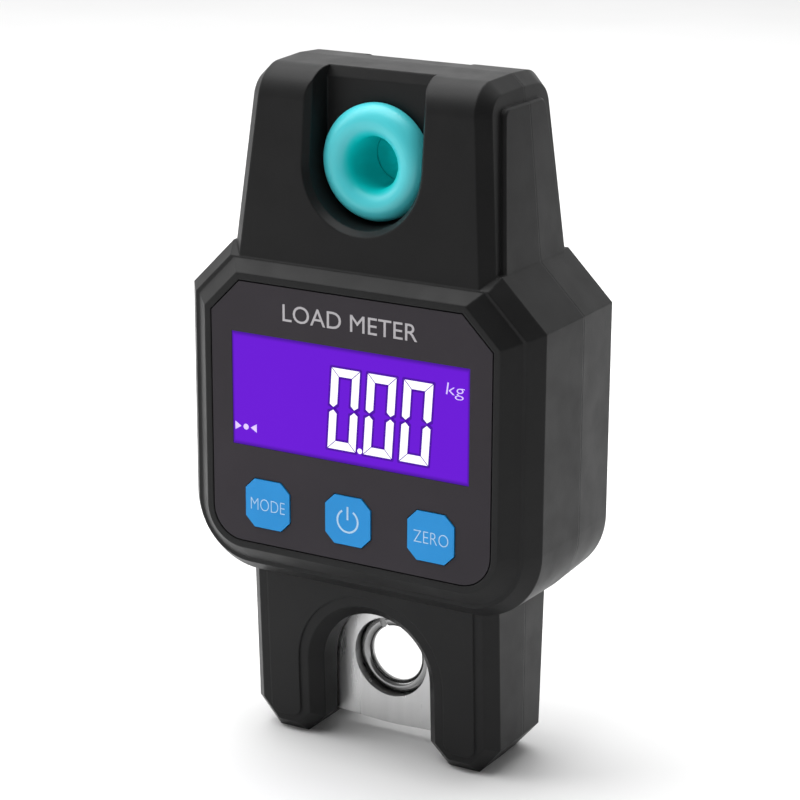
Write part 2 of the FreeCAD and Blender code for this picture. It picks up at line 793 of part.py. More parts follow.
def inner_space(side):
    """Hollows inside one casing half."""
    deep, seam = SIDES[side]
    tools = []
    body = new_body(side + "_inner_body")
    if side == "front":
        levels = [
            (as_size(2.4), d.rim - 0.2, d.panel_half_height - 0.5),
            (as_size(6.0), d.bevel_outer - d.wall, d.shoulder_top - d.wall),
            (seam + 1, d.seam_growth - d.wall, d.shoulder_top - d.wall),
        ]
    else:
        levels = [
            (as_size(3.0), d.back_face_growth - d.wall + 0.2, d.shoulder_top - d.wall - 3),
            (as_size(5.4), d.back_growth - d.wall, d.shoulder_top - d.wall),
            (seam + 1, d.seam_growth - d.wall, d.shoulder_top - d.wall),
        ]
    sketches = []
    for number, (depth, growth, height) in enumerate(levels):
        name = f"{side}_inner_level_{number}"
        sketches.append(shield_sketch(body, name, deep(depth), growth, height))
    loft(sketches)
    tools.append(body)
    seam_end = seam + 1
    neck_ys = across(side, d.recess_deep + d.wall, seam_end)
    neck = slab(side + "_inner_neck", "XZ", neck_ys[1], neck_ys[1] - neck_ys[0],
                trapezoid(0 - d.wall, as_size(24.0), as_size(60.6)))
    tools.append(neck)
    tools += mirrored_boxes(side + "_inner_cheek", (d.recess_half + 2.2, as_size(20.6)),
                            across(side, as_size(9.0), seam_end), (up(26), up(55)))
    tools += mirrored_boxes(side + "_inner_leg", (d.notch_half + 2.4, d.leg_half - d.wall),
                            across(side, as_size(11.0), seam_end), (up(-60), up(-30)))
    return tools


def plate_slot():
    """Room for the load plate between the casing halves, down to the legs' ends."""
    gap = d.panel_depth - d.notch_wall_end
    return box("plate_slot", (0 - d.slot_half, d.slot_half), (0 - gap, gap),
               (up(-62.4), up(-20)))


SCREW_PLACES = [
    # half spacing, height above the panel's middle
    (18.4, 47.5),
    (23.4, 24.0),
    (26.2, -25.6),
    (20.6, -55.0),
]


def screw_rods(name, radius, ys):
    """A rod along Y at every casing screw."""
    rods = []
    for number, (x, height) in enumerate(SCREW_PLACES):
        rods.append(rod_y(f"{name}_right_{number}", x, up(height), radius, ys))
        rods.append(rod_y(f"{name}_left_{number}", -x, up(height), radius, ys))
    return rods


def boss_rods(name, radius, stretches):
    """Screw bosses, each along its own stretch between the joint line and a wall."""
    rods = []
    for (x, height), stretch in zip(SCREW_PLACES, stretches):
        for word, sign in (("right", 1), ("left", -1)):
            rods.append(rod_y(f"{name}_{word}_{len(rods)}", sign * x, up(height), radius, stretch))
    return rods


# --- front casing -------------------------------------------------------------------------------

KEYS = [("unit", -1), ("power", 0), ("tare", 1)]
BOARD_POSTS = [(30.0, 15.5), (30.0, -12.5)]


def key_opening(name, position, grow, level, length):
    """A prism with a key's outline, grown all round."""
    grow = as_size(grow)
    outline = octagon(d.key_pitch * position, up(d.key_level), d.key_width + grow * 2,
                      d.key_height + grow * 2, d.key_cut + grow * (2 - DIAGONAL))
    return slab(name, "XZ", level, length, outline)


def window_block(name, shrink, ys):
    """A block with the display window's outline, made smaller all round."""
    half_height = d.window_height / 2 - shrink
    return box(name, (shrink - d.window_half, d.window_half - shrink), ys,
               (up(d.window_middle - half_height), up(d.window_middle + half_height)))


def front_casing():
    outside = fuse("front_outside", [
        body_block("front"), head_block("front"), side_pads("front"), leg_block("front"),
        leg_plateau("front"),
    ])
    tools = inner_space("front")
    tools += recess_tool("front")
    tools.append(plate_slot())
    seat = slab("panel_seat", "XZ", front(d.panel_thick + 0.05), as_size(2.0),
                shield(d.panel_gap, d.panel_half_height + d.panel_gap))
    tools.append(seat)
    tools.append(window_block("window_opening", as_size(0.7), (front(-1), front(6))))
    for word, position in KEYS:
        tools.append(key_opening(word + "_opening", position, d.key_gap, front(6), 7))
    tools.append(rod_y("front_eye_opening", 0, 0, d.eye_bore + 0.4, (front(10), front(20))))
    shell = cut("front_shell", outside, tools)
    ends = [front(depth) for depth in (8.6, 1.8, 3.6, 10.0)]
    bosses = boss_rods("front_boss", 2.6, [(end, d.seam_back) for end in ends])
    for x, height in BOARD_POSTS:
        for word, sign in (("right", 1), ("left", -1)):
            bosses.append(rod_y(f"board_post_{word}_{len(bosses)}", sign * x, up(height), 2.1,
                                (front(2.0), front(d.board_front))))
    solid = fuse("front_with_bosses", [shell] + bosses)
    holes = screw_rods("front_pilot", d.screw_shank + 0.05, (-7, 2))
    for x, height in BOARD_POSTS:
        for word, sign in (("right", 1), ("left", -1)):
            holes.append(rod_y(f"post_hole_{word}_{len(holes)}", sign * x, up(height), 0.85,
                               (front(4.2), front(9))))
    return piece(cut("front_casing_solid", solid, holes), "front_casing")


# --- back casing --------------------------------------------------------------------------------

PLATE_SCREWS = (11.5, 22.6)
DOOR_HALF = d.tray_half + 0.2


def back_casing():
    outside = fuse("back_outside", [
        body_block("back"), head_block("back"), side_pads("back"), leg_block("back"),
        leg_plateau("back"),
    ])
    tools = inner_space("back")
    tools += recess_tool("back")
    tools.append(rod_y("back_eye_opening", 0, 0, d.eye_bore + 0.4, (-2, back(10))))
    gap = d.panel_depth - d.notch_wall_end
    tools.append(box("back_plate_slot", (0 - d.slot_half, d.slot_half), (0 - gap, gap),
                     (up(-62.4), up(-20))))
    shell = cut("back_shell", outside, tools)
    low = d.cell_level - d.tray_reach
    high = d.cell_level + d.tray_reach
    tray = box("tray_block", (-1.2 - d.tray_half, d.tray_half + 1.2), (3.2, d.back_face - 1.5),
               (low - 1.2, high + 1.2))
    x, height = PLATE_SCREWS
    solids = [shell, tray]
    for word, sign in (("right", 1), ("left", -1)):
        solids.append(rod_y("plate_boss_" + word, sign * x, up(height), 3.2,
                            (d.plate_thick / 2, d.back_face - 1)))
    ends = [back(depth) for depth in (7.4, 2.2, 3.2, 9.6)]
    solids += boss_rods("back_boss", 3.6, [(d.seam_back, end) for end in ends])
    solid = fuse("back_with_tray", solids)
    holes = [box("tray_inside", (0 - d.tray_half, d.tray_half), (4.2, d.back_face - 2), (low, high))]
    holes.append(box("door_opening", (0 - DOOR_HALF, DOOR_HALF), (d.back_face - 2.001, 20),
                     (low, high)))
    holes.append(rod_x("finger_notch", d.back_face + 1.2, high, 3.0, (-6, 6)))
    holes += mirrored_boxes("tab_pocket", (11.8, 18.2), (13.2, d.back_face - 2), (low - 1.5, low + 1))
    for word, sign, number in (("plus", 1, 2), ("minus", -1, 0)):
        level = cell_level(number)
        middle = sign * (d.tray_half + 0.8)
        holes.append(box(word + "_terminal_slot", (middle - 1.4, middle + 1.4), (9.4, 11.2),
                         (level - 1.6, level + 1.6)))
    for word, sign in (("right", 1), ("left", -1)):
        holes.append(rod_y("plate_pilot_" + word, sign * x, up(height), 1.35, (0, 10)))
    holes += screw_rods("back_clearance", d.screw_shank + 0.15, (0, 8))
    holes += screw_rods("back_counterbore", d.screw_head + 0.3, (6, 20))
    return piece(cut("back_casing_solid", solid, holes), "rear_casing")


# --- panel, window and keys -----------------------------------------------------------------------

def front_panel():
    sheet_body = slab("panel_sheet", "XZ", front(d.panel_thick), d.panel_thick,
                      shield(0, d.panel_half_height))
    tools = [window_block("panel_window", as_size(0), (front(-1), front(2)))]
    for word, position in KEYS:
        tools.append(key_opening(word + "_panel_hole", position, d.key_gap, front(2), 3))
    return piece(cut("panel_solid", sheet_body, tools), "front_panel")


def display_window():
    window = window_block("window_solid", as_size(0.05), (front(0.05), front(d.panel_thick)))
    return piece(window, "display_window")


SWITCH_FRONT = 4.7
PLUNGER_FRONT = 4.0


def keys():
    """Each key: a cap, a wider flange behind the wall and a stem that reaches its switch."""
    for word, position in KEYS:
        x = d.key_pitch * position
        z = up(d.key_level)
        cap = key_opening(word + "_cap", position, as_size(0), front(2.6), d.key_proud + 2.6)
        flange = box(word + "_flange", (x - 5.4, x + 5.4), (front(2.45), front(3.2)),
                     (z - 4.95, z + 4.95))
        stem = rod_y(word + "_stem", x, z, 1.6, (front(3.0), front(PLUNGER_FRONT)))
        piece(fuse(word + "_key_solid", [cap, flange, stem]), word + "_key")
        plunger = rod_y(word + "_plunger_solid", x, z, 1.7,
                        (front(PLUNGER_FRONT + 0.02), front(5.4)))
        piece(plunger, word + "_switch_plunger")


def switches():
    blocks = []
    for word, position in KEYS:
        x = d.key_pitch * position
        z = up(d.key_level)
        block = box(word + "_switch_block", (x - 3, x + 3), (front(SWITCH_FRONT),
                    front(d.board_front)), (z - 3, z + 3))
        well = rod_y(word + "_switch_well", x, z, 1.78, (front(4), front(6.2)))
        blocks.append(cut(word + "_switch", block, [well]))
    return piece(group("switch_group", blocks), "tact_switches")


# --- display ----------------------------------------------------------------------------------------

def display():
    middle = d.window_middle
    glass = box("glass_solid", (-26, 26), (front(2.5), front(4.9)), (up(middle - 12.6),
                up(middle + 12.2)))
    piece(glass, "lcd_glass")
    light = box("light_solid", (-25.6, 25.6), (front(5.0), front(7.4)), (up(middle - 11.8),
                up(middle + 11.8)))
    piece(light, "lcd_backlight")
    frame = box("frame_block", (-27.6, 27.6), (front(2.5), front(8.1)), (up(middle - 14.0),
                up(middle + 13.6)))
    room = box("frame_room", (-26.1, 26.1), (front(2), front(9)), (up(middle - 12.7),
               up(middle + 12.3)))
    piece(cut("frame_solid", frame, [room]), "lcd_frame")
    strip_ys = (front(5.0), front(d.board_front))
    strip = box("strip_block", (-24, 24), strip_ys, (up(middle - 12.6), up(middle - 11.9)))
    piece(strip, "elastomer_connector")


# --- circuit board ----------------------------------------------------------------------------------

def board():
    blank = slab("board_blank", "XZ", front(d.board_front + d.board_thick), d.board_thick, [
        (0 - d.board_half, up(d.board_bottom), as_size(3)),
        (d.board_half, up(d.board_bottom), as_size(3)),
        (d.board_half, up(d.board_top), as_size(2)),
        (0 - d.board_half, up(d.board_top), as_size(2)),
    ])
    holes = []
    for x, height in BOARD_POSTS:
        for sign in (1, -1):
            holes.append(rod_y(f"board_hole_{len(holes)}", sign * x, up(height), 1.2,
                               (front(7), front(11))))
    piece(cut("board_solid", blank, holes), "main_pcb")
    rear = front(d.board_front + d.board_thick)
    screws = []
    for x, height in BOARD_POSTS:
        for sign in (1, -1):
            number = len(screws)
            head = rod_y(f"board_screw_head_{number}", sign * x, up(height), 1.8,
                         (rear, rear + 1.2))
            shank = rod_y(f"board_screw_shank_{number}", sign * x, up(height), 0.8,
                          (rear - 5, rear + 0.5))
            screws.append(fuse(f"board_screw_{number}", [head, shank]))
    piece(group("board_screw_group", screws), "pcb_screws")
    blob = doc.addObject("Part::Cone", "blob_block")
    bind(blob, "Radius1", 6.0)
    bind(blob, "Radius2", 3.6)
    bind(blob, "Height", 1.8)
    place(blob, -8, rear, up(3), (1, 0, 0), -90)
    piece(blob, "controller_blob")
    chip = box("chip_body", (9, 15), (rear + 0.2, rear + 1.7), (up(-4), up(0)))
    legs = [chip]
    for number in range(4):
        x = 9.6 + 1.4 * number
        legs.append(box(f"chip_leg_{number}", (x, x + 0.5), (rear, rear + 0.5), (up(-5), up(1))))
    piece(fuse("chip_solid", legs), "converter_chip")
    small = []
    for row in range(2):
        for column in range(5):
            x = -27 + 3.4 * column
            z = -9.0 - 3.2 * row
            small.append(box(f"small_part_{row}_{column}", (x, x + 2.0), (rear, rear + 0.8),
                             (up(z), up(z + 1.2))))
    piece(group("small_part_group", small), "smd_parts")
    can = rod_y("capacitor_solid", 22, up(8), 2.5, (rear, rear + 4.4))
    piece(can, "capacitor")
    crystal = slab("crystal_solid", "XZ", rear + 1.8, as_size(1.8),
                   octagon(2, up(-12), as_size(10), as_size(4), as_size(1.2)))
    piece(crystal, "clock_crystal")


# --- load cell ----------------------------------------------------------------------------------------

BEAM_MIDDLE = -45.0
SLOT = 2.5
BEAM_HALF = 6.5


def load_plate():
    """Flat steel plate: upper eye, an S-shaped bending beam, lower eye with a curved foot."""
    body = new_body("plate_body")
    rear = d.plate_thick / 2
    blank = new_sketch(body, "plate_outline", "XZ", rear)
    neck = as_size(12.6)
    foot = 0 - d.eye_spacing - 12.4
    draw_outline(blank, [
        (0 - neck, as_size(12.6), as_size(9)),
        (0 - neck, as_size(-16.0), as_size(4)),
        (0 - d.plate_half, as_size(-20.4), as_size(4)),
        (0 - d.plate_half, foot, as_size(3)),
        (as_size(0), foot - 0.9, as_size(60)),
        (d.plate_half, foot, as_size(3)),
        (d.plate_half, as_size(-20.4), as_size(4)),
        (neck, as_size(-16.0), as_size(4)),
        (neck, as_size(12.6), as_size(9)),
    ])
    pad(blank, d.plate_thick)
    upper = BEAM_MIDDLE + BEAM_HALF
    lower = BEAM_MIDDLE - BEAM_HALF
    tools = [
        rod_y("eye_bore_tool", 0, 0, d.eye_bore, (-5, 5)),
        rod_y("low_eye_tool", 0, 0 - d.eye_spacing, d.ring_middle + d.ring_wire, (-5, 5)),
        box("upper_slot", (-20, 12.5), (-5, 5), (upper, upper + SLOT)),
        box("lower_slot", (-12.5, 20), (-5, 5), (lower - SLOT, lower)),
        rod_y("beam_hole_left", -7, BEAM_MIDDLE, 4.6, (-5, 5)),
        rod_y("beam_hole_right", 7, BEAM_MIDDLE, 4.6, (-5, 5)),
        box("beam_link", (-7, 7), (-5, 5), (BEAM_MIDDLE - 1.5, BEAM_MIDDLE + 1.5)),
    ]
    x, height = PLATE_SCREWS
    tools.append(rod_y("plate_hole_right", x, up(height), 1.7, (-5, 5)))
    tools.append(rod_y("plate_hole_left", -x, up(height), 1.7, (-5, 5)))
    piece(cut("plate_solid", body, tools), "load_plate")


def plate_screws():
    x, height = PLATE_SCREWS
    front_face = 0 - d.plate_thick / 2
    screws = []
    for sign in (1, -1):
        number = len(screws)
        head = rod_y(f"plate_screw_head_{number}", sign * x, up(height), 2.8,
                     (front_face - 2.0, front_face))
        shank = rod_y(f"plate_screw_shank_{number}", sign * x, up(height), 1.3,
                      (front_face - 1, front_face + 12))
        screws.append(fuse(f"plate_screw_{number}", [head, shank]))
    piece(group("plate_screw_group", screws), "plate_screws")


def strain_gauges():
    upper = BEAM_MIDDLE + BEAM_HALF
    lower = BEAM_MIDDLE - BEAM_HALF
    gauges = []
    for x in (-7, 7):
        gauges.append(box(f"upper_gauge_{x + 7}", (x - 3, x + 3), (-2, 2), (upper, upper + 0.3)))
        gauges.append(box(f"lower_gauge_{x + 7}", (x - 3, x + 3), (-2, 2), (lower - 0.3, lower)))
    piece(group("gauge_group", gauges), "strain_gauges")


def tube(name, points, radius, bend):
    """A round wire along straight runs joined by tangent arcs."""
    edges = []
    last = FreeCAD.Vector(*points[0])
    for index in range(1, len(points) - 1):
        corner = FreeCAD.Vector(*points[index])
        before = (FreeCAD.Vector(*points[index - 1]) - corner).normalize()
        after = (FreeCAD.Vector(*points[index + 1]) - corner).normalize()
        half_angle = before.getAngle(after) / 2
        reach = bend / math.tan(half_angle)
        start = corner + before * reach
        end = corner + after * reach
        inward = (before + after).normalize()
        crown = corner + inward * (bend / math.sin(half_angle) - bend)
        edges.append(Part.LineSegment(last, start).toShape())
        edges.append(Part.Arc(start, crown, end).toShape())
        last = end
    edges.append(Part.LineSegment(last, FreeCAD.Vector(*points[-1])).toShape())
    path = Part.Wire(edges)
    first = FreeCAD.Vector(*points[0])
    direction = FreeCAD.Vector(*points[1]) - first
    ring = Part.Wire(Part.makeCircle(radius, first, direction))
    wire = doc.addObject("Part::Feature", name)
    wire.Shape = path.makePipeShell([ring], True, False)
    wire.Placement = FreeCAD.Placement()
    return wire


def gauge_wires():
    """One lead from each gauge's front edge to the back of the board."""
    board_back = front(d.board_front + d.board_thick).value
    leads = []
    for x in (-7, 7):
        for level, turn in ((BEAM_MIDDLE + BEAM_HALF + 0.55, 1.5),
                            (BEAM_MIDDLE - BEAM_HALF - 0.55, -1.5)):
            leads.append(tube(f"gauge_lead_{len(leads)}", [
                (x, -2.05, level),
                (x, -4.6, level),
                (x + 1.0, -6.0, level + turn),
                (x + 1.0, board_back, level + turn),
            ], 0.25, 0.9))
    piece(group("gauge_lead_group", leads), "gauge_wires")


# --- eyes ---------------------------------------------------------------------------------------------

def bushing(side, label):
    """Half of the eye's lining: a rounded flange on the recess floor and a sleeve in the plate."""
    deep = SIDES[side][0]
    body = new_body(side + "_bushing_body")
    sketch = new_sketch(body, side + "_bushing_section", "XY", 0)
    outer = d.flange_middle + d.flange_round
    floor = deep(d.recess_deep)
    crest = deep(d.flange_depth - d.flange_round)
    middle_gap = as_size(-0.2) if side == "front" else as_size(0.2)
    nearly = d.flange_round - 0.01
    draw_outline(sketch, [
        (d.throat, middle_gap),
        (d.throat, crest, nearly),
        (outer, crest, nearly),
        (outer, floor, as_size(0.6)),
        (d.eye_bore - 0.1, floor),
        (d.eye_bore - 0.1, middle_gap),
    ])
    revolve(sketch, "V_Axis")
    return piece(body, label)


def wear_ring():
    """Round wire bent to an open ring and sprung into the lower eye."""
    ring = doc.addObject("Part::Torus", "ring_torus")
    bind(ring, "Radius1", d.ring_middle)
    bind(ring, "Radius2", d.ring_wire)
    place(ring, 0, 0, 0 - d.eye_spacing, (1, 0, 0), 90)
    opening = doc.addObject("Part::Box", "ring_opening")
    bind(opening, "Length", d.ring_gap)
    bind(opening, "Width", 6.0)
    bind(opening, "Height", 6.0)
    turned = FreeCAD.Rotation(FreeCAD.Vector(0, 1, 0), -22)
    corner = turned.multVec(FreeCAD.Vector(-0.85, -3, 4))
    opening.Placement = FreeCAD.Placement(
        FreeCAD.Vector(corner.x, corner.y, corner.z - d.eye_spacing.value), turned)
    bind(opening, "Placement.Base.z", corner.z - d.eye_spacing)
    return piece(cut("ring_solid", ring, [opening]), "lower_wear_ring")


# --- batteries ----------------------------------------------------------------------------------------

def cell_level(number):
    """Height of a cell's axis, the lowest first."""
    return d.cell_level + d.cell_pitch * (number - 1)


def batteries():
    """Three cells laid alternately, each with its plus end against a contact plate."""
    nub_long = 0.8
    for number in range(3):
        sign = 1 if number % 2 == 0 else -1
        z = cell_level(number)
        plus_end = d.tray_half - 0.45 - nub_long
        minus_end = plus_end - d.cell_length
        if sign > 0:
            can_xs = (minus_end, plus_end)
            nub_xs = (plus_end - 0.1, plus_end + nub_long)
        else:
            can_xs = (0 - plus_end, 0 - minus_end)
            nub_xs = (0 - plus_end - nub_long, 0.1 - plus_end)
        can = rod_x(f"cell_can_{number}", d.cell_back, z, d.cell_radius, can_xs)
        nub = rod_x(f"cell_nub_{number}", d.cell_back, z, 1.9, nub_xs)
        piece(fuse(f"cell_solid_{number}", [can, nub]), f"battery_cell_{number + 1}")


SPRING_TURNS = 4
SPRING_RADIUS = 2.6
SPRING_WIRE = 0.25


def spring_contact(name, side, z):
    """A coil spring from the tray's end wall to a cell's flat end, in half turns that each lean."""
    wall = d.tray_half - 0.45 - SPRING_WIRE
    cell_end = d.cell_length + 0.45 + 0.8 - d.tray_half + SPRING_WIRE + 0.05
    pitch = (wall - cell_end) / SPRING_TURNS
    lean = math.atan(pitch.value / 4 / SPRING_RADIUS)
    arcs = []
    for half_turn in range(SPRING_TURNS * 2):
        arc = doc.addObject("Part::Torus", f"{name}_{half_turn}")
        bind(arc, "Radius1", SPRING_RADIUS / math.cos(lean))
        bind(arc, "Radius2", SPRING_WIRE)
        bind(arc, "Angle3", 180)
        start = wall - pitch * (half_turn / 2 + 0.25)
        upright = FreeCAD.Rotation(FreeCAD.Vector(0, 1, 0), 90)
        leaning_turn = FreeCAD.Rotation(FreeCAD.Vector(0, 1, 0), math.degrees(lean))
        roll = FreeCAD.Rotation(FreeCAD.Vector(0, 0, 1), 180 * (half_turn % 2))
        x = side * start
        base = FreeCAD.Vector(x.value, d.cell_back.value, as_size(z).value)
        arc.Placement = FreeCAD.Placement(base, upright * roll * leaning_turn)
        bind(arc, "Placement.Base.x", x)
        bind(arc, "Placement.Base.y", d.cell_back)
        bind(arc, "Placement.Base.z", z)
        arcs.append(arc)
    return fuse(name, arcs)


def contacts():
    inner = d.tray_half - 0.4
    springs = []
    for number in range(3):
        side = -1 if number % 2 == 0 else 1
        springs.append(spring_contact(f"contact_spring_{number}", side, cell_level(number)))
    piece(group("spring_group", springs), "battery_springs")
    low = cell_level(0)
    middle = cell_level(1)
    high = cell_level(2)
    ys = (as_size(5.4), as_size(13.4))
    reach = 3.6
    outer = d.tray_half - 0.02
    plates = [
        box("bridge_right", (inner, outer), ys, (low - reach, middle + reach)),
        box("bridge_left", (0 - outer, 0 - inner), ys, (middle - reach, high + reach)),
    ]
    plus = box("plus_plate", (inner, outer), ys, (high - reach, high + reach))
    plus_tail = box("plus_tail", (inner, inner + 2.6), (9.8, 10.8), (high - 1.2, high + 1.2))
    plates.append(fuse("plus_contact", [plus, plus_tail]))
    minus = box("minus_plate", (0 - outer, 0 - inner), ys, (low - reach, low + reach))
    minus_tail = box("minus_tail", (-2.6 - inner, 0 - inner), (9.8, 10.8), (low - 1.2, low + 1.2))
    plates.append(fuse("minus_contact", [minus, minus_tail]))
    piece(group("plate_group", plates), "battery_contacts")


def battery_wires():
    board_back = front(d.board_front + d.board_thick).value
    x = d.tray_half.value + 1.7
    high = cell_level(2).value
    low = cell_level(0).value
    plus = tube("plus_wire", [
        (x, 9.75, high),
        (x, 5.0, high),
        (x + 1.2, 0.0, high - 2.5),
        (x + 1.2, board_back, high - 2.5),
    ], 0.5, 3.0)
    minus = tube("minus_wire", [
        (-x, 9.75, low),
        (-x, 5.0, low),
        (-x - 1.2, 0.0, low + 2.5),
        (-x - 1.2, board_back, low + 2.5),
    ], 0.5, 3.0)
    piece(plus, "battery_wire_plus")
    piece(minus, "battery_wire_minus")


def battery_door():
    """Cover that turns about its lower outer edge; two tabs hold it behind the wall."""
    low = d.cell_level - d.tray_reach + d.door_gap
    high = d.cell_level + d.tray_reach - d.door_gap
    half = DOOR_HALF - d.door_gap
    inner = d.back_face - 2
    leaf = box("door_leaf", (0 - half, half), (inner + 0.05, d.back_face), (low, high))
    solids = [leaf]
    solids += mirrored_boxes("door_tab", (12.4, 17.6), (inner - 0.9, inner - 0.15),
                             (low - 0.9, low + 1.6))
    solids += mirrored_boxes("door_tab_root", (12.4, 17.6), (inner - 0.5, inner + 0.5),
                             (low + 0.7, low + 1.6))
    grips = []
    for number in range(5):
        z = high - 3.2 - 1.6 * number
        grips.append(box(f"grip_groove_{number}", (-7, 7), (d.back_face - 0.4, d.back_face + 1),
                         (z, z + 0.8)))
    return piece(cut("door_solid", fuse("door_leaf_and_tabs", solids), grips), "battery_door")


def casing_screws():
    screws = []
    for x, height in SCREW_PLACES:
        for sign in (1, -1):
            number = len(screws)
            head = rod_y(f"casing_screw_head_{number}", sign * x, up(height), d.screw_head,
                         (6.0, 8.0))
            shank = rod_y(f"casing_screw_shank_{number}", sign * x, up(height), d.screw_shank,
                          (-6, 6.5))
            drive = [
                box(f"screw_cross_a_{number}", (sign * x - 1.5, sign * x + 1.5), (7.2, 9),
                    (up(height) - 0.3, up(height) + 0.3)),
                box(f"screw_cross_b_{number}", (sign * x - 0.3, sign * x + 0.3), (7.2, 9),
                    (up(height) - 1.5, up(height) + 1.5)),
            ]
            whole = fuse(f"casing_screw_whole_{number}", [head, shank])
            screws.append(cut(f"casing_screw_{number}", whole, drive))
    piece(group("casing_screw_group", screws), "casing_screws")


# --- build, test and write ------------------------------------------------------------------------------

def check_and_write():
    doc.recompute()
    for thing in doc.Objects:
        if "Invalid" in thing.State or "Error" in thing.State:
            raise RuntimeError(f"{thing.Name} ({thing.Label}) did not compute")
    os.makedirs("parts", exist_ok=True)
    for thing in pieces:
        shape = thing.Shape
        if shape.isNull() or not shape.isValid():
            raise RuntimeError(f"{thing.Label} is not a valid shape")
        box_size = shape.BoundBox
        print(f"{thing.Label}: {len(shape.Solids)} solid(s), {shape.Volume:.1f} mm3, "
              f"x {box_size.XMin:.2f}..{box_size.XMax:.2f} y {box_size.YMin:.2f}.."
              f"{box_size.YMax:.2f} z {box_size.ZMin:.2f}..{box_size.ZMax:.2f}")
        shape.exportStep(f"parts/{thing.Label}.step")


front_casing()
back_casing()
front_panel()
display_window()
keys()
switches()
display()
board()
load_plate()
plate_screws()
strain_gauges()
gauge_wires()
bushing("front", "upper_bushing_front")
bushing("back", "upper_bushing_rear")
wear_ring()
batteries()
contacts()
battery_wires()
battery_door()
casing_screws()
check_and_write()
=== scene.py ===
import math

import bmesh
import bpy
from mathutils import Matrix, Vector


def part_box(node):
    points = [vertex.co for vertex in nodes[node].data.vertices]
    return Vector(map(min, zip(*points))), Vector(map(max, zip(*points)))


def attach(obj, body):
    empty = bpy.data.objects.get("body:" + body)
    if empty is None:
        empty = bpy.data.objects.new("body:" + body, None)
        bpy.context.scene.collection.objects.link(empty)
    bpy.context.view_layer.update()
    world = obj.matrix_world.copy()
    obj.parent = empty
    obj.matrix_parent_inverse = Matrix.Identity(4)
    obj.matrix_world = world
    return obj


MM = 0.001

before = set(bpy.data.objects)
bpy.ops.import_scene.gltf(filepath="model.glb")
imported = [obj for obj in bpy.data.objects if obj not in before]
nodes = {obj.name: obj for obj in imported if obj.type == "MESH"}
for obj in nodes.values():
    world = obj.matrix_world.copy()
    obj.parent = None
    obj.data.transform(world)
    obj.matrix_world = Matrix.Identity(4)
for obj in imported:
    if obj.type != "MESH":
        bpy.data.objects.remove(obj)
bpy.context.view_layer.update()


# --- camera: the photograph's viewing angle ---------------------------------------------------

CAMERA_AZIMUTH = 30.1
CAMERA_ELEVATION = 16.8
CAMERA_ROLL = 0.25
CAMERA_LENS = 115.9
CAMERA_DISTANCE_MM = 447.8
CAMERA_TARGET_MM = (10.6, -18.0, -39.15)


def add_camera():
    azimuth = math.radians(CAMERA_AZIMUTH)
    elevation = math.radians(CAMERA_ELEVATION)
    roll = math.radians(CAMERA_ROLL)
    target = Vector(CAMERA_TARGET_MM) * MM
    distance = CAMERA_DISTANCE_MM * MM
    back = Vector((
        math.sin(azimuth) * math.cos(elevation),
        -math.cos(azimuth) * math.cos(elevation),
        math.sin(elevation),
    ))
    level_right = Vector((0, 0, 1)).cross(back).normalized()
    level_up = back.cross(level_right)
    right = level_right * math.cos(roll) + level_up * math.sin(roll)
    up = level_up * math.cos(roll) - level_right * math.sin(roll)
    turn = Matrix((right, up, back)).transposed().to_4x4()
    data = bpy.data.cameras.new("camera")
    data.sensor_width = 36.0
    data.lens = CAMERA_LENS
    data.clip_start = 0.01
    data.clip_end = 20.0
    camera = bpy.data.objects.new("camera", data)
    camera.matrix_world = Matrix.Translation(target + back * distance) @ turn
    bpy.context.scene.collection.objects.link(camera)
    bpy.context.scene.camera = camera


# --- light and floor -----------------------------------------------------------------------------

def add_lamp(name, place, aim, width, height, watts):
    """A soft rectangular lamp turned towards a point; places in metres."""
    data = bpy.data.lights.new(name, "AREA")
    data.shape = "RECTANGLE"
    data.size = width
    data.size_y = height
    data.energy = watts
    lamp = bpy.data.objects.new(name, data)
    lamp.location = place
    lamp.rotation_euler = (Vector(aim) - Vector(place)).to_track_quat("-Z", "Y").to_euler()
    bpy.context.scene.collection.objects.link(lamp)


WORLD_BRIGHT_SIDE = (-0.55, 0.83, 0.0)
WORLD_DIM = (0.13, 0.13, 0.13, 1)
WORLD_BRIGHT = (1, 1, 1, 1)


def add_world():
    """Plain studio surroundings: white behind the object, dim towards its right front."""
    world = bpy.data.worlds.new("studio")
    bpy.context.scene.world = world
    world.use_nodes = True
    tree = world.node_tree
    background = tree.nodes["Background"]
    where = tree.nodes.new("ShaderNodeTexCoord")
    towards = tree.nodes.new("ShaderNodeVectorMath")
    towards.operation = "DOT_PRODUCT"
    towards.inputs[1].default_value = WORLD_BRIGHT_SIDE
    ramp = tree.nodes.new("ShaderNodeValToRGB")
    shift = tree.nodes.new("ShaderNodeMapRange")
    shift.inputs["From Min"].default_value = -1.0
    shift.inputs["From Max"].default_value = 1.0
    ramp.color_ramp.elements[0].position = 0.25
    ramp.color_ramp.elements[0].color = WORLD_DIM
    ramp.color_ramp.elements[1].position = 0.75
    ramp.color_ramp.elements[1].color = WORLD_BRIGHT
    tree.links.new(where.outputs["Generated"], towards.inputs[0])
    tree.links.new(towards.outputs["Value"], shift.inputs["Value"])
    tree.links.new(shift.outputs["Result"], ramp.inputs["Fac"])
    tree.links.new(ramp.outputs["Color"], background.inputs["Color"])
    background.inputs["Strength"].default_value = 1.0


FLOOR_RADIUS = 6.0


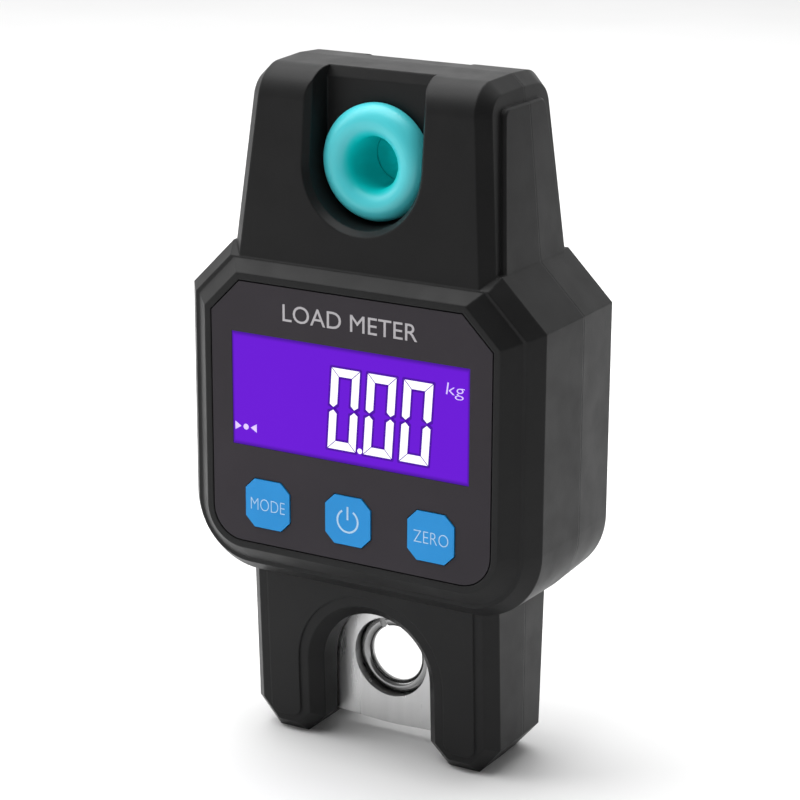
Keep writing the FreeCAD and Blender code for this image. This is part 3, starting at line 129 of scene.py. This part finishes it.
def add_floor():
    low = min(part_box(name)[0].z for name in nodes)
    mesh = bpy.data.meshes.new("floor")
    shape = bmesh.new()
    bmesh.ops.create_circle(shape, cap_ends=True, radius=FLOOR_RADIUS, segments=96)
    shape.to_mesh(mesh)
    shape.free()
    floor = bpy.data.objects.new("floor", mesh)
    floor.location = (0, 0, low)
    bpy.context.scene.collection.objects.link(floor)
    paper, tree, shader = new_material("floor_paper", 0.9, specular=0.0)
    two_tone(tree, shader, (0.86, 0.86, 0.86), (0.89, 0.89, 0.89), 8.0)
    mesh.materials.append(paper)


# --- materials ---------------------------------------------------------------------------------------

def new_material(name, roughness, metallic=0.0, specular=0.5):
    material = bpy.data.materials.new(name)
    material.use_nodes = True
    tree = material.node_tree
    shader = tree.nodes["Principled BSDF"]
    shader.inputs["Roughness"].default_value = roughness
    shader.inputs["Metallic"].default_value = metallic
    shader.inputs["Specular IOR Level"].default_value = specular
    return material, tree, shader


def position(tree, stretch=(1, 1, 1)):
    """Place on the object in metres, scaled along each axis."""
    where = tree.nodes.new("ShaderNodeTexCoord")
    mapping = tree.nodes.new("ShaderNodeMapping")
    mapping.inputs["Scale"].default_value = stretch
    tree.links.new(where.outputs["Object"], mapping.inputs["Vector"])
    return mapping.outputs["Vector"]


def noise(tree, scale, detail=3.0, stretch=(1, 1, 1)):
    texture = tree.nodes.new("ShaderNodeTexNoise")
    texture.inputs["Scale"].default_value = scale
    texture.inputs["Detail"].default_value = detail
    tree.links.new(position(tree, stretch), texture.inputs["Vector"])
    return texture.outputs["Fac"]


def two_tone(tree, shader, low, high, scale, stretch=(1, 1, 1), socket="Base Color"):
    """Colour that drifts between two close tones."""
    ramp = tree.nodes.new("ShaderNodeValToRGB")
    ramp.color_ramp.elements[0].position = 0.3
    ramp.color_ramp.elements[0].color = (*low, 1)
    ramp.color_ramp.elements[1].position = 0.7
    ramp.color_ramp.elements[1].color = (*high, 1)
    tree.links.new(noise(tree, scale, stretch=stretch), ramp.inputs["Fac"])
    tree.links.new(ramp.outputs["Color"], shader.inputs[socket])


def uneven_gloss(tree, shader, low, high, scale, stretch=(1, 1, 1)):
    """Roughness that drifts between two values."""
    spread = tree.nodes.new("ShaderNodeMapRange")
    spread.inputs["From Min"].default_value = 0.3
    spread.inputs["From Max"].default_value = 0.7
    spread.inputs["To Min"].default_value = low
    spread.inputs["To Max"].default_value = high
    tree.links.new(noise(tree, scale, stretch=stretch), spread.inputs["Value"])
    tree.links.new(spread.outputs["Result"], shader.inputs["Roughness"])


def relief(tree, shader, scale, depth_mm, strength=1.0, rounding_mm=0.0, stretch=(1, 1, 1)):
    """Fine surface grain, over edges that are softly rounded."""
    bump = tree.nodes.new("ShaderNodeBump")
    bump.inputs["Strength"].default_value = strength
    bump.inputs["Distance"].default_value = depth_mm * MM
    tree.links.new(noise(tree, scale, detail=2.0, stretch=stretch), bump.inputs["Height"])
    if rounding_mm:
        edge = tree.nodes.new("ShaderNodeBevel")
        edge.samples = 4
        edge.inputs["Radius"].default_value = rounding_mm * MM
        tree.links.new(edge.outputs["Normal"], bump.inputs["Normal"])
    tree.links.new(bump.outputs["Normal"], shader.inputs["Normal"])


def plastic(name, low, high, roughness, grain_mm=0.0, specular=0.5, rounding_mm=0.0, patch=60.0):
    """Moulded plastic: two close tones, slightly uneven gloss and a fine grain."""
    material, tree, shader = new_material(name, roughness, specular=specular)
    two_tone(tree, shader, low, high, patch)
    uneven_gloss(tree, shader, roughness - 0.04, roughness + 0.05, patch * 3)
    if grain_mm or rounding_mm:
        relief(tree, shader, 3500.0, grain_mm, rounding_mm=rounding_mm)
    return material


def metal(name, low, high, roughness, grain_mm=0.003, stretch=(1, 1, 1), scale=400.0,
          rounding_mm=0.0):
    """Bare metal with fine drawn or brushed lines."""
    material, tree, shader = new_material(name, roughness, metallic=1.0)
    two_tone(tree, shader, low, high, scale, stretch)
    uneven_gloss(tree, shader, roughness - 0.05, roughness + 0.07, scale * 1.7, stretch)
    relief(tree, shader, scale * 3, grain_mm, rounding_mm=rounding_mm, stretch=stretch)
    return material


def lit_window():
    """Clear window over an evenly lit violet display, with painted shade darkening it at its edges."""
    material, tree, shader = new_material("violet_display", 0.18, specular=0.05)
    low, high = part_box("display_window")
    split = tree.nodes.new("ShaderNodeSeparateXYZ")
    tree.links.new(position(tree), split.inputs[0])
    fades = []
    for axis, index, edge_mm in (("X", 0, 0.5), ("Z", 2, 0.9)):
        middle = (low[index] + high[index]) / 2
        half = (high[index] - low[index]) / 2
        away = tree.nodes.new("ShaderNodeMath")
        away.operation = "SUBTRACT"
        away.inputs[1].default_value = middle
        tree.links.new(split.outputs[axis], away.inputs[0])
        reach = tree.nodes.new("ShaderNodeMath")
        reach.operation = "ABSOLUTE"
        tree.links.new(away.outputs[0], reach.inputs[0])
        fade = tree.nodes.new("ShaderNodeMapRange")
        fade.interpolation_type = "SMOOTHSTEP"
        fade.inputs["From Min"].default_value = half - edge_mm * MM
        fade.inputs["From Max"].default_value = half
        fade.inputs["To Min"].default_value = 0.0
        fade.inputs["To Max"].default_value = 0.75
        tree.links.new(reach.outputs[0], fade.inputs["Value"])
        fades.append(fade)
    # The two fades darken the violet towards the window's edges: painted shade.
    edge_shade = tree.nodes.new("ShaderNodeMath")
    edge_shade.operation = "MAXIMUM"
    tree.links.new(fades[0].outputs["Result"], edge_shade.inputs[0])
    tree.links.new(fades[1].outputs["Result"], edge_shade.inputs[1])
    drift = tree.nodes.new("ShaderNodeValToRGB")
    drift.color_ramp.elements[0].color = (0.140, 0.0062, 0.660, 1)
    drift.color_ramp.elements[1].color = (0.156, 0.0072, 0.705, 1)
    tree.links.new(noise(tree, 25.0), drift.inputs["Fac"])
    mix = tree.nodes.new("ShaderNodeMix")
    mix.data_type = "RGBA"
    tree.links.new(edge_shade.outputs[0], mix.inputs["Factor"])
    tree.links.new(drift.outputs["Color"], mix.inputs["A"])
    mix.inputs["B"].default_value = (0.045, 0.003, 0.25, 1)
    shader.inputs["Base Color"].default_value = (0.002, 0.001, 0.003, 1)
    tree.links.new(mix.outputs["Result"], shader.inputs["Emission Color"])
    shader.inputs["Emission Strength"].default_value = 1.0
    return material


def glow(name, low, high, strength, body=0.2):
    """Lit display strokes."""
    material, tree, shader = new_material(name, 0.3, specular=0.05)
    two_tone(tree, shader, low, high, 900.0, socket="Emission Color")
    shader.inputs["Base Color"].default_value = (body, body, body, 1)
    shader.inputs["Emission Strength"].default_value = strength
    return material


# Painted shade in the bushing's throat: within these radii of the bore's axis the teal turns more
# saturated and loses its specular.
THROAT_INNER_MM = 4.75
THROAT_OUTER_MM = 6.2
THROAT_SHADE_TEAL = (0.004, 0.62, 0.62, 1)
FLANGE_GLOSS = 0.45


def bushing_plastic():
    """Teal plastic, glossy on the flange; in the throat a more saturated teal with no specular is
    painted shade.
    """
    material, tree, shader = new_material("bushing_plastic", 0.34)
    uneven_gloss(tree, shader, 0.30, 0.38, 300.0)
    relief(tree, shader, 1800.0, 0.004, rounding_mm=0.15)
    away = tree.nodes.new("ShaderNodeVectorMath")
    away.operation = "LENGTH"
    tree.links.new(position(tree, (1, 0, 1)), away.inputs[0])
    depth = tree.nodes.new("ShaderNodeMapRange")
    depth.interpolation_type = "SMOOTHSTEP"
    depth.inputs["From Min"].default_value = THROAT_INNER_MM * MM
    depth.inputs["From Max"].default_value = THROAT_OUTER_MM * MM
    tree.links.new(away.outputs["Value"], depth.inputs["Value"])
    drift = tree.nodes.new("ShaderNodeValToRGB")
    drift.color_ramp.elements[0].color = (0.070, 0.60, 0.66, 1)
    drift.color_ramp.elements[1].color = (0.085, 0.66, 0.72, 1)
    tree.links.new(noise(tree, 120.0), drift.inputs["Fac"])
    mix = tree.nodes.new("ShaderNodeMix")
    mix.data_type = "RGBA"
    # Painted shade: the throat takes this more saturated teal.
    mix.inputs["A"].default_value = THROAT_SHADE_TEAL
    tree.links.new(depth.outputs["Result"], mix.inputs["Factor"])
    tree.links.new(drift.outputs["Color"], mix.inputs["B"])
    tree.links.new(mix.outputs["Result"], shader.inputs["Base Color"])
    shine = tree.nodes.new("ShaderNodeMapRange")
    shine.inputs["To Min"].default_value = 0.0
    shine.inputs["To Max"].default_value = FLANGE_GLOSS
    tree.links.new(depth.outputs["Result"], shine.inputs["Value"])
    tree.links.new(shine.outputs["Result"], shader.inputs["Specular IOR Level"])
    return material


def battery_sleeve(name, sign):
    """Printed sleeve with a coloured band at the cell's plus end and bare steel at its ends."""
    material, tree, shader = new_material(name, 0.32)
    node = {1: "battery_cell_1", -1: "battery_cell_2"}[sign]
    low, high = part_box(node)
    split = tree.nodes.new("ShaderNodeSeparateXYZ")
    tree.links.new(position(tree), split.inputs[0])
    along = tree.nodes.new("ShaderNodeMapRange")
    along.inputs["From Min"].default_value = low.x if sign > 0 else high.x
    along.inputs["From Max"].default_value = high.x if sign > 0 else low.x
    tree.links.new(split.outputs["X"], along.inputs["Value"])
    ramp = tree.nodes.new("ShaderNodeValToRGB")
    ramp.color_ramp.interpolation = "CONSTANT"
    ramp.color_ramp.elements[0].color = (0.55, 0.55, 0.56, 1)
    ramp.color_ramp.elements[1].position = 0.03
    ramp.color_ramp.elements[1].color = (0.03, 0.03, 0.035, 1)
    band = ramp.color_ramp.elements.new(0.72)
    band.color = (0.6, 0.27, 0.06, 1)
    end = ramp.color_ramp.elements.new(0.96)
    end.color = (0.62, 0.62, 0.63, 1)
    tree.links.new(along.outputs["Result"], ramp.inputs["Fac"])
    tree.links.new(ramp.outputs["Color"], shader.inputs["Base Color"])
    shine = tree.nodes.new("ShaderNodeValToRGB")
    shine.color_ramp.interpolation = "CONSTANT"
    shine.color_ramp.elements[0].color = (1, 1, 1, 1)
    shine.color_ramp.elements[1].position = 0.03
    shine.color_ramp.elements[1].color = (0.15, 0.15, 0.15, 1)
    top = shine.color_ramp.elements.new(0.96)
    top.color = (1, 1, 1, 1)
    tree.links.new(along.outputs["Result"], shine.inputs["Fac"])
    tree.links.new(shine.outputs["Color"], shader.inputs["Metallic"])
    relief(tree, shader, 1500.0, 0.004)
    return material


def striped_rubber():
    """Rubber strip with alternating conducting and clear layers."""
    material, tree, shader = new_material("striped_rubber", 0.5)
    wave = tree.nodes.new("ShaderNodeTexWave")
    wave.bands_direction = "X"
    wave.inputs["Scale"].default_value = 600.0
    tree.links.new(position(tree), wave.inputs["Vector"])
    ramp = tree.nodes.new("ShaderNodeValToRGB")
    ramp.color_ramp.elements[0].color = (0.02, 0.02, 0.02, 1)
    ramp.color_ramp.elements[1].color = (0.7, 0.6, 0.6, 1)
    tree.links.new(wave.outputs["Fac"], ramp.inputs["Fac"])
    tree.links.new(ramp.outputs["Color"], shader.inputs["Base Color"])
    return material


def dress(names, material):
    """Give CAD nodes a better material."""
    for name in names:
        node = nodes[name]
        if not node.material_slots:
            node.data.materials.append(material)
        for slot in node.material_slots:
            slot.material = material


def dress_nodes():
    black = plastic("casing_plastic", (0.0075, 0.0075, 0.0077), (0.0095, 0.0095, 0.0097), 0.42,
                    grain_mm=0.016, specular=0.19, rounding_mm=0.45)
    dress(["front_casing", "rear_casing", "battery_door"], black)
    dress(["front_panel"], plastic("panel_film", (0.033, 0.029, 0.034), (0.037, 0.032, 0.038), 0.5,
                                   grain_mm=0.006, specular=0.12, rounding_mm=0.12))
    dress(["display_window"], lit_window())
    dress(["unit_key", "power_key", "tare_key"],
          plastic("key_plastic", (0.016, 0.27, 0.66), (0.020, 0.29, 0.70), 0.4, grain_mm=0.004,
                  specular=0.2, rounding_mm=0.12))
    dress(["upper_bushing_front", "upper_bushing_rear"], bushing_plastic())
    dress(["load_plate"], metal("satin_steel", (0.55, 0.55, 0.55), (0.59, 0.59, 0.59), 0.3,
                                grain_mm=0.001, stretch=(1, 1, 0.12), rounding_mm=0.2))
    dress(["lower_wear_ring"], metal("drawn_wire", (0.26, 0.26, 0.26), (0.30, 0.30, 0.30), 0.2,
                                     grain_mm=0.001, scale=200.0))
    dress(["casing_screws", "pcb_screws", "plate_screws"],
          metal("screw_steel", (0.35, 0.35, 0.36), (0.45, 0.45, 0.46), 0.3, rounding_mm=0.1))
    dress(["battery_springs", "battery_contacts"],
          metal("nickel", (0.62, 0.6, 0.57), (0.7, 0.68, 0.65), 0.2))
    dress(["capacitor", "clock_crystal"],
          metal("bright_can", (0.7, 0.7, 0.71), (0.78, 0.78, 0.79), 0.25, rounding_mm=0.1))
    dress(["main_pcb"], plastic("solder_mask", (0.006, 0.11, 0.035), (0.01, 0.15, 0.05), 0.3))
    dress(["controller_blob", "converter_chip"],
          plastic("black_epoxy", (0.01, 0.01, 0.01), (0.02, 0.02, 0.02), 0.35, grain_mm=0.01))
    dress(["smd_parts"], plastic("ceramic", (0.18, 0.12, 0.08), (0.3, 0.22, 0.15), 0.5))
    dress(["tact_switches"], plastic("switch_body", (0.012, 0.012, 0.012), (0.02, 0.02, 0.02), 0.5))
    dress(["unit_switch_plunger", "power_switch_plunger", "tare_switch_plunger"],
          plastic("plunger", (0.5, 0.46, 0.32), (0.56, 0.52, 0.38), 0.45))
    dress(["lcd_frame"], plastic("white_frame", (0.7, 0.7, 0.68), (0.78, 0.78, 0.76), 0.5))
    dress(["lcd_backlight"], plastic("light_guide", (0.75, 0.75, 0.8), (0.82, 0.82, 0.88), 0.3))
    dress(["lcd_glass"], plastic("display_glass", (0.02, 0.01, 0.05), (0.03, 0.012, 0.06), 0.12))
    dress(["elastomer_connector"], striped_rubber())
    dress(["strain_gauges"], plastic("gauge_film", (0.5, 0.22, 0.03), (0.6, 0.28, 0.05), 0.4))
    dress(["gauge_wires", "battery_wire_plus"],
          plastic("red_wire", (0.45, 0.02, 0.015), (0.52, 0.03, 0.02), 0.4))
    dress(["battery_wire_minus"], plastic("black_wire", (0.012, 0.012, 0.012),
                                          (0.02, 0.02, 0.02), 0.4))
    dress(["battery_cell_1", "battery_cell_3"], battery_sleeve("sleeve_right", 1))
    dress(["battery_cell_2"], battery_sleeve("sleeve_left", -1))


# --- lettering and display strokes --------------------------------------------------------------

PANEL_MIDDLE = (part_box("front_panel")[0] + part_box("front_panel")[1]) / 2
PANEL_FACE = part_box("front_panel")[0].y
KEY_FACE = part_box("power_key")[0].y
WINDOW_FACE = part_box("display_window")[0].y
PRINT_THICK = 0.02


def on_front(name, mesh, face, body, material):
    """Stand a flat mesh drawn in millimetres (x right, y up, z towards the viewer) on a face."""
    turn = Matrix.Rotation(math.radians(90), 4, "X")
    place = Matrix.Translation((0, face, PANEL_MIDDLE.z))
    mesh.transform(place @ turn @ Matrix.Scale(MM, 4))
    mesh.materials.clear()
    mesh.materials.append(material)
    thing = bpy.data.objects.new(name, mesh)
    bpy.context.scene.collection.objects.link(thing)
    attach(thing, body)
    return thing


def lettering(name, words, left, right, base, height, thin=0.0, lean=0.0):
    """Words as a thin raised print, fitted between two sides and to a capital height, in mm."""
    data = bpy.data.curves.new(name, "FONT")
    data.body = words
    data.size = 1.0
    data.offset = thin
    data.extrude = 0.5
    data.shear = lean
    data.resolution_u = 4
    holder = bpy.data.objects.new(name + "_holder", data)
    bpy.context.scene.collection.objects.link(holder)
    bpy.context.view_layer.update()
    mesh = bpy.data.meshes.new_from_object(holder.evaluated_get(
        bpy.context.evaluated_depsgraph_get()))
    bpy.data.objects.remove(holder)
    bpy.data.curves.remove(data)
    xs = [vertex.co.x for vertex in mesh.vertices]
    ys = [vertex.co.y for vertex in mesh.vertices]
    wide = (right - left) / (max(xs) - min(xs))
    tall = height / max(ys)
    mesh.transform(Matrix.Translation((-min(xs), 0, 0.5)))
    mesh.transform(Matrix.Diagonal((wide, tall, PRINT_THICK, 1)))
    mesh.transform(Matrix.Translation((left, base, 0)))
    return mesh


def prism(outlines, thick=PRINT_THICK):
    """Closed outlines in mm raised to a thin solid."""
    shape = bmesh.new()
    for outline in outlines:
        lower = [shape.verts.new((x, y, 0)) for x, y in outline]
        upper = [shape.verts.new((x, y, thick)) for x, y in outline]
        shape.faces.new(list(reversed(lower)))
        shape.faces.new(upper)
        for index in range(len(outline)):
            after = (index + 1) % len(outline)
            shape.faces.new((lower[index], lower[after], upper[after], upper[index]))
    bmesh.ops.recalc_face_normals(shape, faces=shape.faces)
    mesh = bpy.data.meshes.new("strokes")
    shape.to_mesh(mesh)
    shape.free()
    return mesh


DIGIT_WIDTH = 5.8
DIGIT_HEIGHT = 15.0
STROKE = 1.5
STROKE_GAP = 0.2
DIGIT_LEAN = 0.065
DIGIT_BASE = -3.7
DIGIT_LEFT = (-4.3, 3.1, 10.45)
SHADE_GROW = 0.42
SHADE_THICK = 0.006
POINT_RADIUS = 0.5


def zero_strokes(left, base, grow=0.0):
    """The six lit strokes of a zero on a seven-stroke display."""
    width, height, thick, gap = DIGIT_WIDTH, DIGIT_HEIGHT, STROKE, STROKE_GAP / 2
    half = height / 2
    flat = [
        [(gap, 0), (width - gap, 0), (width - thick - gap, thick), (thick + gap, thick)],
        [(gap, height), (thick + gap, height - thick), (width - thick - gap, height - thick),
         (width - gap, height)],
    ]
    tall = []
    for low, high in ((0, half), (half, height)):
        foot = low + gap if low == 0 else low + gap + thick * 0.1
        head = high - gap if high == height else high - gap - thick * 0.1
        if low == 0:
            tall.append([(0, foot), (thick, foot + thick), (thick, head - thick * 0.45),
                         (thick * 0.5, head), (0, head - thick * 0.35)])
        else:
            tall.append([(0, foot + thick * 0.35), (thick * 0.5, foot),
                         (thick, foot + thick * 0.45), (thick, head - thick), (0, head)])
    mirrored = [[(width - x, y) for x, y in reversed(stroke)] for stroke in tall]
    outlines = []
    for stroke in flat + tall + mirrored:
        middle_x = sum(x for x, y in stroke) / len(stroke)
        middle_y = sum(y for x, y in stroke) / len(stroke)
        outline = []
        for x, y in stroke:
            wide_x = x + math.copysign(grow, x - middle_x)
            wide_y = y + math.copysign(grow, y - middle_y)
            outline.append((left + wide_x + DIGIT_LEAN * wide_y, base + wide_y))
        outlines.append(outline)
    return outlines


def circle(x, y, radius, count=20):
    return [(x + radius * math.cos(2 * math.pi * step / count),
             y + radius * math.sin(2 * math.pi * step / count)) for step in range(count)]


def add_display():
    white = glow("lit_strokes", (0.97, 0.95, 1.0), (1.0, 1.0, 1.0), 1.0)
    dim = glow("dim_strokes", (0.60, 0.42, 0.95), (0.68, 0.50, 1.0), 0.95)
    shade = glow("stroke_shade", (0.070, 0.002, 0.36), (0.080, 0.003, 0.40), 1.0, 0.002)
    halo = []
    lit = []
    for left in DIGIT_LEFT:
        halo += zero_strokes(left, DIGIT_BASE, SHADE_GROW)
        lit += zero_strokes(left, DIGIT_BASE)
    point_x = (DIGIT_LEFT[0] + DIGIT_WIDTH + DIGIT_LEFT[1]) / 2 + 0.1
    lit.append(circle(point_x, DIGIT_BASE + 0.4, POINT_RADIUS))
    on_front("display_digit_shade", prism(halo, SHADE_THICK), WINDOW_FACE, "scale_body",
             shade)
    on_front("display_digits", prism(lit), WINDOW_FACE, "scale_body", white)
    on_front("display_unit_mark", lettering("unit", "kg", 19.7, 23.4, 9.9, 2.15, -0.012, 0.1),
             WINDOW_FACE, "scale_body", dim)
    state = [circle(-21.6, -2.6, 0.55)]
    state.append([(-23.9, -3.4), (-22.6, -2.6), (-23.9, -1.8)])
    state.append([(-19.3, -3.4), (-19.3, -1.8), (-20.6, -2.6)])
    on_front("display_state_mark", prism(state), WINDOW_FACE, "scale_body", dim)


KEY_LOW, KEY_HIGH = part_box("power_key")
KEY_MIDDLE = ((KEY_LOW.z + KEY_HIGH.z) / 2 - PANEL_MIDDLE.z) / MM
SYMBOL_RADIUS = 2.3
SYMBOL_STROKE = 0.36
SYMBOL_HALF_GAP = 32
SYMBOL_STEPS = 28


def power_symbol(x, y, radius, thick):
    """A ring open at the top with a bar standing in its gap."""
    opening = math.radians(SYMBOL_HALF_GAP)
    outer = []
    inner = []
    for step in range(SYMBOL_STEPS + 1):
        angle = math.pi / 2 + opening + (2 * math.pi - 2 * opening) * step / SYMBOL_STEPS
        outer.append((x + radius * math.cos(angle), y + radius * math.sin(angle)))
        inner.append((x + (radius - thick) * math.cos(angle),
                      y + (radius - thick) * math.sin(angle)))
    links = [[outer[step], outer[step + 1], inner[step + 1], inner[step]]
             for step in range(SYMBOL_STEPS)]
    half = thick / 2
    bar = [(x - half, y + 0.2), (x + half, y + 0.2), (x + half, y + radius + 0.4),
           (x - half, y + radius + 0.4)]
    return prism(links + [bar])


def add_print():
    pale = plastic("panel_print", (0.42, 0.40, 0.42), (0.47, 0.45, 0.47), 0.45)
    on_front("heading_print", lettering("heading", "LOAD METER", -13.5, 14.0, 18.35, 3.1),
             PANEL_FACE, "scale_body", pale)
    legend = plastic("key_print", (0.40, 0.62, 0.82), (0.46, 0.68, 0.88), 0.4)
    rows = [
        ("unit", "MODE", -20.6, -13.3, -18.05, 2.3),
        ("tare", "ZERO", 13.6, 20.6, -18.05, 2.3),
    ]
    for body, words, left, right, base, height in rows:
        mesh = lettering(words, words, left, right, base, height, -0.018)
        on_front(f"legend_{body}", mesh, KEY_FACE, body + "_key_set", legend)
    on_front("legend_power", power_symbol(0.0, KEY_MIDDLE, SYMBOL_RADIUS, SYMBOL_STROKE), KEY_FACE,
             "power_key_set", legend)


add_camera()
add_world()
LAMP_AIM = (0, 0, -0.05)
add_lamp("soft_top", (-0.15, 0.05, 0.9), LAMP_AIM, 1.2, 1.0, 13.0)
add_lamp("soft_left", (-0.9, -0.35, 0.45), LAMP_AIM, 0.7, 0.9, 5.0)
add_floor()
dress_nodes()
add_display()
add_print()

bpy.context.scene.view_settings.view_transform = "Standard"
